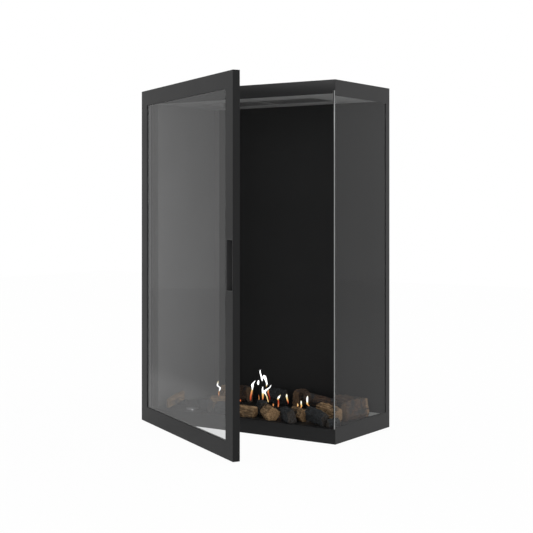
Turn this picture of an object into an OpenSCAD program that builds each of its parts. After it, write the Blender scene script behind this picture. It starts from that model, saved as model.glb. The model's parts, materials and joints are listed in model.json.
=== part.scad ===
// Bioethanol corner fireplace: a steel cabinet glazed on its front and right side.
// X runs to the right along the front, Y runs to the back, Z is up.
// The origin is the middle of the cabinet's underside, on the floor. Sizes are millimetres.

/* [Cabinet] */
// Width of the cabinet across its front
body_w = 665; // [600:1:900]
// Depth of the cabinet from front to back
body_d = 313; // [300:1:400]
// Height of the cabinet
body_h = 1000; // [800:1:1300]
// Thickness of the sheet steel
sheet_t = 1.2; // [1:0.1:1.6]
// Height of the front band below the fire chamber
base_h = 40; // [38:1:60]
// Height of the front band above the fire chamber
top_h = 38.5; // [36:0.5:60]
// Width of the hollow column on the left
column_w = 38; // [34:1:60]
// Width of the folded edges on the left column
fold_w = 17; // [15:1:22]
// Set back of the column's inner fold behind the front
fold_step = 6; // [4:1:10]
// Depth of the box that closes the back
back_box_d = 22; // [18:1:40]
// Set back of the fire chamber's back wall behind the front edge of the back box
liner_in = 4; // [3:0.5:8]
// Width of the ledges that carry the floor and the ceiling
ledge_w = 10; // [6:1:16]
// Diameter of the stand-offs behind the back wall
standoff_d = 14; // [10:1:20]

/* [Glass] */
// Thickness of the side glass
side_glass_t = 5; // [4:0.5:6]
// Height of the lip above the floor plate that holds the side glass
lip_low = 6.5; // [5:0.5:12]
// Height of the lip below the ceiling that holds the side glass
lip_high = 6.5; // [5:0.5:12]
// How far the side glass reaches up above the ceiling
glass_up = 8; // [6:0.5:12]
// Thickness of the strip that the side glass stands on
seal_t = 1.5; // [1:0.1:3]
// Height of the inner rails that hold the side glass
rail_h = 6; // [5:0.5:6.5]
// Thickness of the inner rails
rail_t = 1.5; // [1:0.1:3]

/* [Ceiling] */
// Length of each vent along the front
vent_len = 200; // [120:1:240]
// Depth of each vent
vent_d = 130; // [80:1:150]
// Width of the web between the two vents
vent_web = 7; // [5:0.5:20]
// Distance from the front to the vents
vent_front = 91; // [60:1:110]
// Height of the deflector above the ceiling plate
deflector_up = 18; // [12:1:22]
// How far the deflector reaches past the vents
deflector_over = 8; // [5:1:12]
// Width of one outlet slot in the top
outlet_w = 4; // [3:0.1:4]
// Length of one outlet slot in the top
outlet_len = 50; // [30:1:60]
// Distance between two outlet slots
outlet_pitch = 20; // [14:1:30]
// Number of outlet slots in the top
outlet_count = 24; // [4:1:26]
// Distance from the back of the cabinet to the outlet slots
outlet_back = 40; // [30:1:60]

/* [Burner] */
// Length of the flame slot
slot_len = 400; // [200:1:420]
// Width of the flame slot
slot_w = 40; // [24:1:44]
// Distance from the front to the middle of the flame slot
slot_y = 150; // [140:1:160]
// Thickness of the burner's top plate, which is the bed for the logs
burner_t = 1.5; // [1:0.1:2.5]
// Gap round the burner's top plate
burner_gap = 1; // [0.5:0.1:3]
// Length of the fuel tank
tank_len = 440; // [430:1:470]
// Rim of the tank's lid at each end of its opening
lid_rim = 20; // [16:0.5:40]
// Distance from the lining on the left to the burner's middle
burner_in = 294.5; // [292:0.5:297]
// Distance from the front to the fuel tank
tank_front = 5; // [4:0.5:8]
// Depth of the fuel tank
tank_d = 228; // [210:1:250]
// Height of the fuel tank
tank_h = 34; // [28:1:34]
// Wall of the fuel tank
tank_t = 1.2; // [1:0.1:2]
// Length of the shutter's blade past one end of the slot, on the knob's side
shutter_tail = 48; // [46:1:50]
// How far the shutter covers past the slot on its other sides
shutter_over = 6; // [4:1:8]
// Thickness of the shutter's blade
shutter_t = 1.2; // [1:0.1:1.3]
// Diameter of the shutter's stem
stem_d = 6; // [4:0.5:8]
// Diameter of the shutter's knob
knob_d = 18; // [14:1:24]
// Height of the shutter's knob
knob_h = 8; // [6:0.5:14]
// Distance from the left end of the front to the fuel filler
filler_x = 150; // [145:1:200]
// Distance from the front to the fuel filler
filler_y = 27; // [26:0.5:34]
// Bore of the filler neck
neck_d = 24; // [18:1:26]
// Wall of the filler neck
neck_t = 1.5; // [1:0.1:3]
// Diameter of the fuel cap
cap_d = 37; // [34:1:40]
// Height of the fuel cap above the burner's top plate
cap_h = 6; // [5:0.5:10]
// Depth of the fuel cap's plug
plug_h = 5; // [3:0.5:8]

/* [Door] */
// Angle at which the door stands open
door_open = 29.7; // [0:0.1:95]
// Thickness of the door
door_t = 20; // [18:0.5:30]
// Width of the door's frame
frame_w = 45; // [43:0.5:70]
// Wall of the door's tubes
tube_t = 1.2; // [1:0.1:2]
// Width of the lip in front of the door glass
door_lip_w = 5; // [4:0.5:8]
// Thickness of the lip in front of the door glass
door_lip_t = 3; // [2:0.1:4]
// Thickness of the door glass
door_glass_t = 4; // [3:0.5:5]
// Thickness of the beads behind the door glass
bead_t = 6; // [4:0.5:8]
// Gap between the closed door and the cabinet
door_gap = 2; // [1.9:0.1:4]
// Gap under the door
door_foot = 3; // [2:0.5:10]
// Distance from the cabinet's side to the door's edge, at each side
door_side = 1; // [0.5:0.1:3]
// Length of the finger pull
pull_len = 130; // [90:1:200]
// Depth of the finger pull
pull_depth = 15; // [12:0.5:16]
// Wall of the finger pull
pull_t = 0.8; // [0.6:0.1:1.5]

/* [Hinges and catches] */
// Height of one hinge
hinge_h = 45; // [36:1:80]
// Distance from the door's top or bottom edge to its hinge
hinge_end = 6; // [5:1:60]
// Outer diameter of the hinge barrel
barrel_d = 7; // [6.5:0.1:7.4]
// Diameter of the hinge pin
pin_d = 4; // [3:0.1:4.4]
// Radial running clearance round the hinge pin
pin_clear = 0.05; // [0.03:0.01:0.08]
// Thickness of a hinge leaf
leaf_t = 1.5; // [1:0.1:1.6]
// Distance from the door's edge to the hinge axis
axis_in = 3; // [2:0.1:3]
// Distance from the door's back face to the hinge axis
axis_deep = 2; // [1.9:0.1:3]
// Gap between the knuckles of a hinge
knuckle_gap = 0.3; // [0.2:0.05:0.5]
// Diameter of the hinge screws
screw_d = 3; // [2.5:0.1:3.4]
// Diameter of a hinge screw's head
screw_head_d = 5.6; // [5:0.1:6]
// Length of the hinge screws
screw_len = 8; // [6:0.5:12]
// Radial clearance round the hinge screws
screw_clear = 0.1; // [0.05:0.05:0.2]
// Diameter of a catch magnet
magnet_d = 12; // [8:1:16]
// Thickness of a catch magnet
magnet_t = 6; // [3:0.5:10]
// Distance from the cabinet's right side to the catch magnets
magnet_in = 24; // [18:1:36]
// Diameter of a door bumper
bumper_d = 9; // [6:0.5:12]
// Thickness of a door bumper
bumper_t = 1.6; // [1:0.1:1.6]

/* [Wall fixing] */
// Diameter of the holes for the wall screws
fix_d = 9; // [6:0.5:12]
// Distance between the wall screws along the cabinet
fix_x = 520; // [300:1:540]
// Distance between the upper and the lower wall screws
fix_z = 800; // [500:1:820]
// Height of the lower wall screws above the floor
fix_low = 100; // [80:1:140]

/* [Ceramic logs] */
// Thickness scale of the logs
log_girth = 1; // [0.9:0.01:1.02]
// Length scale of the logs
log_reach = 1; // [0.9:0.01:1.02]
// Rings along one log
log_rings = 8; // [6:1:12]
// Sides round one log
log_sides = 16; // [9:1:24]

/* [Hidden] */

// Cabinet planes
left = -body_w / 2;
right = body_w / 2;
front = -body_d / 2;
back = body_d / 2;
box_front = back - back_box_d;
ceiling = body_h - top_h;
liner_y = box_front + liner_in;
chamber_left = left + column_w;
glass_out = right - sheet_t;
glass_in = glass_out - side_glass_t;
glass_bottom = base_h + seal_t;
glass_top = ceiling + glass_up;
seal_end_t = 1;
glass_back = liner_y - seal_end_t;
cut = 1;
round_fn = 48;
small_fn = 24;

// Burner levels, from the tray upwards
tank_z = sheet_t;
lid_z = tank_z + tank_h;
lid_t = tank_t;
slide_clear = 0.3;
stem_clear = 1;
shutter_z = lid_z + lid_t + slide_clear;
burner_z = base_h;
log_z = burner_z + burner_t;
burner_x = chamber_left + burner_in;
burner_y = front + slot_y;
lid_open = tank_len - 2 * lid_rim;
shutter_w = slot_w + 2 * shutter_over;
shutter_travel = shutter_w;
shutter_open_y = burner_y + shutter_travel;
shutter_left = burner_x - slot_len / 2 - shutter_tail;
shutter_right = burner_x + slot_len / 2 + shutter_over;
knob_x = shutter_left + knob_d / 2;
filler = [left + filler_x, front + filler_y];
shutter_room = 4;

// Door planes, with the door closed
door_left = left + door_side;
door_right = right - door_side;
door_w = door_right - door_left;
door_back = front - door_gap;
door_front = door_back - door_t;
door_bottom = door_foot;
door_top = body_h;
bar_w = frame_w - door_lip_w;
glass_edge_gap = 1;
pane_in = bar_w + glass_edge_gap;
pane_y = door_front + door_lip_t;
bead_y = pane_y + door_glass_t;
pull_x = door_right - tube_t;
pull_w = bar_w - 2 * tube_t;
pull_z = (door_bottom + door_top) / 2;

// Hinges: the axis lies just inside the door's back corner
axis_x = door_left + axis_in;
axis_y = door_back - axis_deep;
knuckle_h = (hinge_h - 2 * knuckle_gap) / 3;
leaf_edge_gap = 1;
fixed_leaf_w = fold_w - door_side - axis_in - leaf_edge_gap;
door_leaf_w = 20;
knuckle_web = 5;
notch_clear = 0.7;
hinge_z = [door_bottom + hinge_end, door_top - hinge_end - hinge_h];
screw_rows = [knuckle_h / 2, hinge_h - knuckle_h / 2];
fixed_screw_edge = 1.2;
door_screw_edge = 2;
screw_sink = 0.05;
screw_head_h = 0.9 * leaf_t;
fixed_screw_x = axis_x + fixed_leaf_w - screw_head_d / 2 - fixed_screw_edge;
door_screw_x = axis_x + door_leaf_w - screw_head_d / 2 - door_screw_edge;
magnet_z = [base_h / 2, body_h - top_h / 2];

// Logs: share of the bed's width from the left, share of its depth from the front,
// turn in degrees, how much higher the far end lies than the near one (below 0: lower),
// length, width, height, the phase that shapes it, and its look:
// 0 for pale wood, 1 for charred wood, 2 for brown wood
LOGS = [
    [0.481, 0.080, 6, 0, 84, 34, 32, 20, 0],
    [0.533, 0.253, -40, 0, 48, 34, 44, 75, 1],
    [0.619, 0.133, -38, 0, 64, 46, 44, 130, 0],
    [0.727, 0.117, -40, 0, 68, 36, 38, 190, 1],
    [0.751, 0.232, -36, 0, 66, 34, 36, 245, 0],
    [0.879, 0.107, -20, -8, 72, 36, 40, 310, 1],
    [0.884, 0.314, -12, -8, 78, 38, 44, 15, 0],
    [0.954, 0.578, 88, 0, 112, 36, 56, 60, 2],
    [0.966, 0.117, 84, 0, 46, 24, 24, 100, 1],
    [0.233, 0.849, -18, 0, 64, 36, 52, 160, 2],
    [0.433, 0.849, 6, 0, 74, 36, 49, 215, 1],
    [0.576, 0.856, 68, 0, 44, 38, 54, 270, 2],
    [0.698, 0.795, 10, -18, 98, 34, 36, 330, 2],
    [0.816, 0.914, -4, 0, 92, 28, 46, 35, 2],
    [0.059, 0.151, 76, 20, 58, 28, 28, 85, 0],
    [0.046, 0.293, 12, 0, 34, 20, 20, 140, 1],
    [0.159, 0.327, -30, 0, 40, 24, 24, 200, 1],
    [0.259, 0.120, -26, 0, 40, 30, 34, 255, 1],
    [0.288, 0.320, -6, 0, 94, 34, 38, 320, 0],
    [0.358, 0.120, -12, 0, 54, 32, 34, 45, 1],
    [0.146, 0.829, 80, 0, 54, 34, 50, 110, 0]
];
bed_w = glass_in - chamber_left;
bed_d = liner_y - front;
// The bed that the table was drawn for, how far a log's end bulges and how far it slants
table_w = 620.8;
table_d = 295;
end_out = 1.5;
end_slant = 4;
split_faces = 4;
bark = 1.04;

// A block from its low corner to its high corner
module block(low, high) {
    translate(low) cube(high - low);
}

// A plate with square corners between two heights
module plate(x0, y0, x1, y1, z, t) {
    block([x0, y0, z], [x1, y1, z + t]);
}

// A ring of ledges inside the cabinet walls, at one height
module ledges(z) {
    inner = ledge_w + sheet_t;
    difference() {
        plate(left + sheet_t / 2, front + sheet_t / 2, glass_in, box_front - sheet_t / 2, z, sheet_t);
        translate([0, 0, -cut])
            plate(left + inner, front + inner, glass_in - inner, box_front - inner, z, sheet_t + 2 * cut);
    }
}

module base_tray() {
    color("#2b2b2c") {
        plate(left, front, right, box_front, 0, sheet_t);
        difference() {
            block([left, front, 0], [right, front + sheet_t, base_h]);
            fixed_screw_holes();
        }
        block([left, front, 0], [left + sheet_t, box_front, base_h]);
        block([left, box_front - sheet_t, 0], [right, box_front, base_h - sheet_t]);
        block([glass_out, front, 0], [right, box_front, base_h + lip_low]);
        difference() {
            ledges(base_h - 2 * sheet_t);
            filler_hole(base_h - 2 * sheet_t, sheet_t);
        }
    }
}

// The round hole that the filler neck passes through
module filler_hole(z, t) {
    room = 1;
    translate([filler[0], filler[1], z - cut])
        cylinder(d = neck_d + 2 * neck_t + room, h = t + 2 * cut, $fn = round_fn);
}

module floor_plate() {
    z = base_h - sheet_t;
    color("#2a2a2b") difference() {
        plate(left + sheet_t, front + sheet_t, glass_out, liner_y, z, sheet_t);
        block([shutter_left - shutter_room, burner_y - shutter_w / 2 - shutter_room, z - cut],
              [shutter_right + shutter_room, shutter_open_y + shutter_w / 2 + shutter_room,
               z + sheet_t + cut]);
        filler_hole(z, sheet_t);
    }
}

// One slot with round ends, cut down through the top skin
module outlet_slot() {
    reach = outlet_len - outlet_w;
    translate([-outlet_w / 2, 0, -cut]) cube([outlet_w, reach, sheet_t + 2 * cut]);
    for (end = [0, reach])
        translate([0, end, -cut]) cylinder(d = outlet_w, h = sheet_t + 2 * cut, $fn = small_fn);
}

module top_casing() {
    notch_w = side_glass_t + 1;
    color("#2b2b2c") {
        difference() {
            plate(left, front, right, box_front, body_h - sheet_t, sheet_t);
            for (i = [0 : outlet_count - 1])
                translate([(i - (outlet_count - 1) / 2) * outlet_pitch,
                           back - outlet_back - outlet_len + outlet_w / 2, body_h - sheet_t])
                    outlet_slot();
        }
        difference() {
            block([left, front, ceiling], [right, front + sheet_t, body_h]);
            block([glass_out - notch_w, front - cut, ceiling - cut],
                  [glass_out, front + sheet_t + cut, glass_top]);
            fixed_screw_holes();
        }
        block([left, front, ceiling], [left + sheet_t, box_front, body_h]);
        block([left, box_front - sheet_t, ceiling + sheet_t], [glass_in - rail_t, box_front, body_h]);
        block([glass_in - rail_t - cut, box_front - sheet_t, glass_top + cut], [right, box_front, body_h]);
        block([glass_out, front, ceiling - lip_high], [right, box_front, body_h]);
        difference() {
            ledges(ceiling + sheet_t);
            block([glass_in - rail_t - 1, front - cut, ceiling], [right, box_front + cut, glass_top]);
        }
    }
}

// The two vents of the ceiling, as blocks of one height
module vents(z, h) {
    for (side = [-1, 1])
        block([side * (vent_len + vent_web) / 2 - vent_len / 2, front + vent_front, z],
              [side * (vent_len + vent_web) / 2 + vent_len / 2, front + vent_front + vent_d, z + h]);
}

module ceiling_plate() {
    color("#2a2a2b") difference() {
        plate(left + sheet_t, front + sheet_t, glass_in - rail_t, liner_y, ceiling, sheet_t);
        vents(ceiling - cut, sheet_t + 2 * cut);
    }
}

module heat_deflector() {
    half = vent_len + vent_web / 2 + deflector_over;
    y0 = front + vent_front - deflector_over;
    y1 = front + vent_front + vent_d + deflector_over;
    z = ceiling + sheet_t + deflector_up;
    color("#6d6f70") {
        plate(-half, y0, half, y1, z - sheet_t, sheet_t);
        for (side = [-1, 1])
            block([side * (half - sheet_t / 2) - sheet_t / 2, y0, ceiling + sheet_t],
                  [side * (half - sheet_t / 2) + sheet_t / 2, y1, z]);
    }
}

// Centres of the wall screw holes
function fix_points() = [for (x = [-1, 1], z = [fix_low, fix_low + fix_z]) [x * fix_x / 2, z]];

module back_panel() {
    color("#2b2b2c") {
        difference() {
            block([left, back - sheet_t, 0], [right, back, body_h]);
            for (p = fix_points())
                translate([p[0], back + cut, p[1]]) rotate([90, 0, 0])
                    cylinder(d = fix_d, h = sheet_t + 2 * cut, $fn = round_fn);
        }
        block([left, box_front, 0], [left + sheet_t, back, body_h]);
        block([glass_out, box_front, 0], [right, back, body_h]);
        block([left, box_front, 0], [right, back, sheet_t]);
        block([left, box_front, body_h - sheet_t], [right, back, body_h]);
    }
}

module back_liner() {
    color("#1a1a1b") block([left + sheet_t, liner_y, base_h - sheet_t],
                           [glass_out, liner_y + sheet_t, ceiling + sheet_t]);
}

module liner_standoffs() {
    reach = back - sheet_t - liner_y - sheet_t;
    color("#8c8f91")
        for (x = [-1, 0, 1], z = [base_h + 2 * standoff_d, (base_h + ceiling) / 2, ceiling - 2 * standoff_d])
            translate([x * fix_x / 3, liner_y + sheet_t, z]) rotate([-90, 0, 0])
                cylinder(d = standoff_d, h = reach, $fn = round_fn);
}

// Holes for the fixed leaves' screws, through the sheet at the front
module fixed_screw_holes() {
    for (z = hinge_z, row = screw_rows)
        translate([fixed_screw_x, front - cut, z + row]) rotate([-90, 0, 0])
            cylinder(d = screw_d + 2 * screw_clear, h = sheet_t + 2 * cut, $fn = small_fn);
}

module left_casing() {
    color("#2b2b2c") {
        block([left, front, base_h], [left + sheet_t, box_front, ceiling]);
        difference() {
            block([left, front, base_h], [left + fold_w, front + sheet_t, ceiling]);
            fixed_screw_holes();
        }
    }
}

module left_liner() {
    color("#2a2a2b") {
        block([chamber_left - sheet_t, front + fold_step, base_h], [chamber_left, liner_y, ceiling]);
        block([left + fold_w, front + fold_step, base_h],
              [chamber_left, front + fold_step + sheet_t, ceiling]);
        block([left + fold_w - sheet_t, front + sheet_t, base_h],
              [left + fold_w, front + fold_step + sheet_t, ceiling]);
    }
}

module liner_corner() {
    color("#2a2a2b") block([chamber_left, liner_y - sheet_t, base_h],
                           [chamber_left + fold_w, liner_y, ceiling]);
}

module side_glass() {
    color("#9fa6a8", 0.35) block([glass_in, front, glass_bottom], [glass_out, glass_back, glass_top]);
}

module side_glass_seal() {
    color("#303234") {
        block([glass_in, front + sheet_t, base_h], [glass_out, glass_back, glass_bottom]);
        block([glass_in, glass_back, base_h], [glass_out, liner_y, ceiling]);
    }
}

module glass_rail_bottom() {
    color("#2a2a2b") {
        block([glass_in - rail_t, front + sheet_t, base_h], [glass_in, liner_y - sheet_t, base_h + rail_h]);
        block([glass_in - ledge_w, front + sheet_t, base_h],
              [glass_in, liner_y - sheet_t, base_h + rail_t / 2]);
    }
}

module glass_rail_top() {
    color("#2a2a2b") block([glass_in - rail_t, front + sheet_t, ceiling],
                           [glass_in, liner_y - sheet_t, glass_top]);
}

module catch_magnets() {
    color("#8c8f91")
        for (z = magnet_z)
            translate([right - magnet_in, front + sheet_t, z]) rotate([-90, 0, 0])
                cylinder(d = magnet_d, h = magnet_t, $fn = round_fn);
}

module fuel_tank() {
    x0 = burner_x - tank_len / 2;
    y0 = front + tank_front;
    color("#a9acae") difference() {
        block([x0, y0, tank_z], [x0 + tank_len, y0 + tank_d, lid_z]);
        block([x0 + tank_t, y0 + tank_t, tank_z + tank_t],
              [x0 + tank_len - tank_t, y0 + tank_d - tank_t, lid_z + cut]);
    }
}

// A block as wide as the flame slot and of a given length, between two heights
module slot(length, z0, z1) {
    block([burner_x - length / 2, burner_y - slot_w / 2, z0],
          [burner_x + length / 2, burner_y + slot_w / 2, z1]);
}

module tank_lid() {
    x0 = burner_x - tank_len / 2;
    y0 = front + tank_front;
    color("#a9acae") difference() {
        block([x0, y0, lid_z], [x0 + tank_len, y0 + tank_d, lid_z + lid_t]);
        slot(lid_open, lid_z - cut, lid_z + lid_t + cut);
        translate([filler[0], filler[1], lid_z - cut])
            cylinder(d = neck_d, h = lid_t + 2 * cut, $fn = round_fn);
    }
}

module wool_pad() {
    color("#d9d6cc") slot(lid_open, tank_z + tank_t, lid_z);
}

module burner_top() {
    guide = stem_d + 2 * stem_clear;
    color("#232324") difference() {
        plate(chamber_left + burner_gap, front + fold_step + sheet_t + burner_gap,
              glass_in - ledge_w - burner_gap, liner_y - sheet_t - burner_gap, burner_z, burner_t);
        slot(slot_len, burner_z - cut, burner_z + burner_t + cut);
        filler_hole(burner_z, burner_t);
        block([knob_x - guide / 2, burner_y, burner_z - cut],
              [knob_x + guide / 2, shutter_open_y, burner_z + burner_t + cut]);
        for (y = [burner_y, shutter_open_y])
            translate([knob_x, y, burner_z - cut])
                cylinder(d = guide, h = burner_t + 2 * cut, $fn = small_fn);
    }
}

module flame_shutter() {
    top = burner_z + burner_t + slide_clear;
    color("#7d7f80") {
        block([shutter_left, shutter_open_y - shutter_w / 2, shutter_z],
              [shutter_right, shutter_open_y + shutter_w / 2, shutter_z + shutter_t]);
        translate([knob_x, shutter_open_y, shutter_z + shutter_t / 2])
            cylinder(d = stem_d, h = top - shutter_z - shutter_t / 2, $fn = small_fn);
    }
}

module shutter_knob() {
    chamfer = knob_h / 5;
    color("#2a2a2b") translate([knob_x, shutter_open_y, burner_z + burner_t + slide_clear])
        rotate_extrude($fn = round_fn)
            polygon([[0, 0], [knob_d / 2, 0], [knob_d / 2, knob_h - chamfer],
                     [knob_d / 2 - chamfer, knob_h], [0, knob_h]]);
}

module filler_neck() {
    z = lid_z + lid_t;
    color("#a9acae") translate([filler[0], filler[1], z]) difference() {
        cylinder(d = neck_d + 2 * neck_t, h = log_z - z, $fn = round_fn);
        translate([0, 0, -cut]) cylinder(d = neck_d, h = log_z - z + 2 * cut, $fn = round_fn);
    }
}

module fill_cap() {
    edge = cap_h / 4;
    plug_r = neck_d / 2 - slide_clear;
    color("#d0d2d3") translate([filler[0], filler[1], log_z]) rotate_extrude($fn = round_fn)
        polygon([[0, -plug_h], [plug_r, -plug_h], [plug_r, 0], [cap_d / 2, 0], [cap_d / 2, cap_h - edge],
                 [cap_d / 2 - edge, cap_h], [0, cap_h]]);
}

// Turns what is drawn with the door closed to where the door stands
module on_door() {
    translate([axis_x, axis_y, 0]) rotate([0, 0, -door_open]) translate([-axis_x, -axis_y, 0]) children();
}

// One tube of the door frame, drawn along Z from 0, with its outer edge at X 0 and its lip inwards
module frame_bar(length) {
    difference() {
        union() {
            block([0, door_front, 0], [bar_w, door_back, length]);
            block([0, door_front, 0], [frame_w, door_front + door_lip_t, length]);
        }
        block([tube_t, door_front + tube_t, -cut], [bar_w - tube_t, door_back - tube_t, length + cut]);
    }
}

// Cuts a bar's two ends at 45 degrees, so that four bars meet in mitres
module mitred(length) {
    reach = 2 * frame_w;
    difference() {
        children();
        for (end = [0, 1])
            translate([0, 0, end * length]) mirror([0, 0, end]) rotate([0, -45, 0])
                block([-reach, door_front - cut, -reach], [reach, door_back + cut, 0]);
    }
}

// A stile with its outer edge on the door's left side
module stile() {
    height = door_top - door_bottom;
    translate([door_left, 0, door_bottom]) mitred(height) frame_bar(height);
}

// A rail with its outer edge on the door's bottom
module rail() {
    translate([door_left, 0, door_bottom]) mirror([1, 0, -1]) mitred(door_w) frame_bar(door_w);
}

// Puts what is drawn on the left or at the bottom of the door on its other side
module to_right() {
    translate([door_left + door_right, 0, 0]) mirror([1, 0, 0]) children();
}

module to_top() {
    translate([0, 0, door_bottom + door_top]) mirror([0, 0, 1]) children();
}

// Room in the door for the hinge barrels and for the leaves in its back face
module hinge_room() {
    r = barrel_d / 2 + notch_clear;
    for (z = hinge_z)
        translate([0, 0, z - notch_clear]) {
            block([door_left - cut, axis_y - r, 0],
                  [axis_x + r, door_back + cut, hinge_h + 2 * notch_clear]);
            block([axis_x, door_back - leaf_t, 0], [axis_x + door_leaf_w, door_back + cut,
                                                     hinge_h + 2 * notch_clear]);
        }
    for (z = hinge_z, row = screw_rows)
        translate([door_screw_x, door_back + cut, z + row]) rotate([90, 0, 0])
            cylinder(d = screw_d + 2 * screw_clear, h = screw_len + 2 * cut, $fn = small_fn);
}

module door_hinge_stile() {
    color("#3a3a3b") on_door() difference() {
        stile();
        hinge_room();
    }
}

module door_handle_stile() {
    color("#3a3a3b") on_door() difference() {
        to_right() stile();
        block([pull_x - pull_w, door_front - cut, pull_z - pull_len / 2 - pull_t],
              [pull_x, door_front + pull_depth + pull_t, pull_z + pull_len / 2 + pull_t]);
    }
}

module door_top_rail() {
    color("#3a3a3b") on_door() difference() {
        to_top() rail();
        hinge_room();
    }
}

module door_bottom_rail() {
    color("#3a3a3b") on_door() difference() {
        rail();
        hinge_room();
    }
}

module door_glass() {
    color("#8f9698", 0.35) on_door()
        block([door_left + pane_in, pane_y, door_bottom + pane_in],
              [door_right - pane_in, bead_y, door_top - pane_in]);
}

// One bead along the left edge of the pane, and its like on the three other sides
module glazing_beads() {
    bead_w = frame_w - pane_in;
    x = door_left + bar_w;
    z = door_bottom + bar_w;
    color("#1f1f20") on_door() {
        block([x, bead_y, z], [x + bead_w, bead_y + bead_t, door_top - bar_w]);
        to_right() block([x, bead_y, z], [x + bead_w, bead_y + bead_t, door_top - bar_w]);
        block([x + bead_w, bead_y, z], [door_right - bar_w - bead_w, bead_y + bead_t, z + bead_w]);
        to_top() block([x + bead_w, bead_y, z], [door_right - bar_w - bead_w, bead_y + bead_t, z + bead_w]);
    }
}

module finger_pull() {
    color("#242425") on_door() difference() {
        block([pull_x - pull_w, door_front, pull_z - pull_len / 2 - pull_t],
              [pull_x, door_front + pull_depth + pull_t, pull_z + pull_len / 2 + pull_t]);
        block([pull_x - pull_w + pull_t, door_front - cut, pull_z - pull_len / 2],
              [pull_x - pull_t, door_front + pull_depth, pull_z + pull_len / 2]);
    }
}

module door_bumpers() {
    color("#111112") on_door()
        for (z = magnet_z)
            translate([right - magnet_in, door_back, z]) rotate([-90, 0, 0])
                cylinder(d = bumper_d, h = bumper_t, $fn = round_fn);
}

// One knuckle of a hinge, from z upwards
module knuckle(z) {
    translate([axis_x, axis_y, z]) cylinder(d = barrel_d, h = knuckle_h, $fn = round_fn);
}

// The bore that the hinge pin turns in
module pin_bore(z) {
    translate([axis_x, axis_y, z - cut])
        cylinder(d = pin_d + 2 * pin_clear, h = hinge_h + 2 * cut, $fn = round_fn);
}

// A countersunk hole for a screw whose head lies in the plane y, pointing along Y
module screw_seat(x, y, z, way) {
    translate([x, y, z]) rotate([-90 * way, 0, 0]) {
        translate([0, 0, -cut]) cylinder(d = screw_d + 2 * screw_clear, h = screw_len, $fn = small_fn);
        translate([0, 0, -0.01])
            cylinder(d1 = screw_head_d + 2 * screw_clear, d2 = screw_d + 2 * screw_clear,
                     h = screw_head_h, $fn = small_fn);
    }
}

module fixed_leaf(z) {
    color("#b4b7b9") difference() {
        union() {
            knuckle(z);
            knuckle(z + 2 * (knuckle_h + knuckle_gap));
            for (step = [0, 2 * (knuckle_h + knuckle_gap)])
                block([axis_x - 1, front - leaf_t, z + step],
                      [axis_x + knuckle_web, front, z + step + knuckle_h]);
            block([axis_x + knuckle_web, front - leaf_t, z], [axis_x + fixed_leaf_w, front, z + hinge_h]);
        }
        pin_bore(z);
        for (row = screw_rows)
            screw_seat(fixed_screw_x, front - leaf_t, z + row, 1);
    }
}

module door_leaf(z) {
    middle = z + knuckle_h + knuckle_gap;
    color("#b4b7b9") on_door() difference() {
        union() {
            knuckle(middle);
            block([axis_x, door_back - leaf_t, middle],
                  [axis_x + knuckle_web, door_back, middle + knuckle_h]);
            block([axis_x + knuckle_web, door_back - leaf_t, z],
                  [axis_x + door_leaf_w, door_back, z + hinge_h]);
        }
        pin_bore(z);
        for (row = screw_rows)
            screw_seat(door_screw_x, door_back, z + row, -1);
    }
}

module hinge_pins() {
    color("#c9cccd")
        for (z = hinge_z)
            translate([axis_x, axis_y, z]) cylinder(d = pin_d, h = hinge_h, $fn = round_fn);
}

// One countersunk screw, its head in the plane y and its point along Y or against it
module leaf_screw(x, y, z, way) {
    translate([x, y, z]) rotate([-90 * way, 0, 0]) rotate_extrude($fn = small_fn)
        polygon([[0, screw_sink], [screw_head_d / 2, screw_sink], [screw_d / 2, screw_head_h],
                 [screw_d / 2, screw_len - 1], [0, screw_len]]);
}

module hinge_fixed_screws() {
    color("#9b9ea0")
        for (z = hinge_z, row = screw_rows)
            leaf_screw(fixed_screw_x, front - leaf_t, z + row, 1);
}

module hinge_door_screws() {
    color("#9b9ea0") on_door()
        for (z = hinge_z, row = screw_rows)
            leaf_screw(door_screw_x, door_back, z + row, -1);
}

// How far a log's skin lies from its middle line, at a share s of its length and an angle a:
// the round bark, cut back by the flat faces where the wood was split, thinner at its ends
function log_skin(s, a, phase) =
    let (faces = [for (k = [0 : split_faces - 1])
            let (turn = a - phase - 360 * k / split_faces - 16 * sin(phase + 100 * k),
                 reach = 0.78 + 0.17 * sin(2 * phase + 130 * k + 25 * s))
            cos(turn) > 0.3 ? reach / cos(turn) : bark])
    min(min(faces), bark) * (0.88 + 0.12 * sin(20 + 140 * s))
    * (1 + 0.035 * sin(3 * a + 2 * phase + 90 * s));

// How high a log's underside lies at a share s of its length
function log_lift(log, s) = log[3] > 0 ? log[3] * s : -log[3] * (1 - s);

// One point of a log's skin; whatever would reach below its underside lies flat on it
function log_point(log, s, a) =
    let (r = log_skin(s, a, log[7]),
         half_w = log[5] * log_girth / 2,
         half_h = log[6] * log_girth / 2)
    [(s - 0.5) * log[4] * log_reach + end_slant * sin(a + log[7]),
     half_w * r * cos(a) + half_w * 0.10 * sin(200 * s + log[7]),
     log_lift(log, s) + max(0, half_h * (1 + (sin(a) > 0 ? r : 1.2) * sin(a)))];

// A point turned with its log and spread as wide and deep as the bed is
function laid(log, point) =
    [(point[0] * cos(log[2]) - point[1] * sin(log[2])) * bed_w / table_w,
     (point[0] * sin(log[2]) + point[1] * cos(log[2])) * bed_d / table_d,
     point[2]];

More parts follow.
